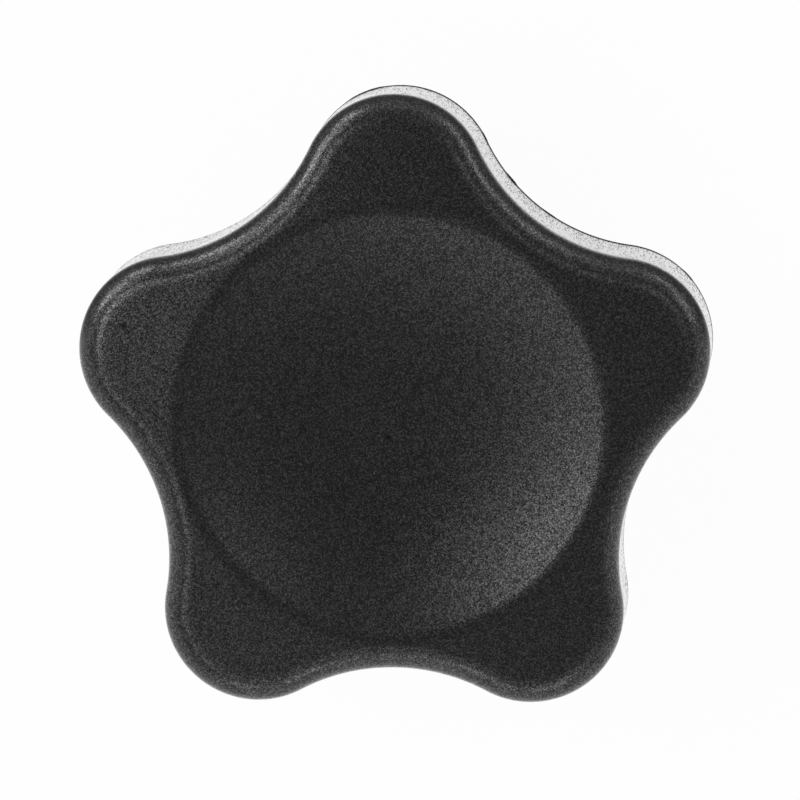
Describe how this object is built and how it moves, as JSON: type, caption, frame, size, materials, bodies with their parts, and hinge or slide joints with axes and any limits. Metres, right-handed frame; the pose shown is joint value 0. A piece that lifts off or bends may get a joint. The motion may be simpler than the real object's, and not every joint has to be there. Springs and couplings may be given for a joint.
{
  "type": "star knob",
  "caption": "Moulded plastic star knob with rounded lobes, a shallow dished face, a hollow ribbed underside and a hub with a blind threaded metal insert.",
  "frame": {"origin": "centre of the hub's lower end, on the thread's axis", "axes": "+Z along the thread's axis, up through the dished face; +Y through the middle of one lobe"},
  "size_m": [0.0482, 0.0466, 0.024],
  "materials": {
    "knob_plastic": "charcoal black moulded plastic with a fine even grain",
    "insert_brass": "plain turned brass"
  },
  "bodies": {
    "root": {"knob_body": "knob_plastic", "threaded_insert": "insert_brass"}
  },
  "joints": []
}
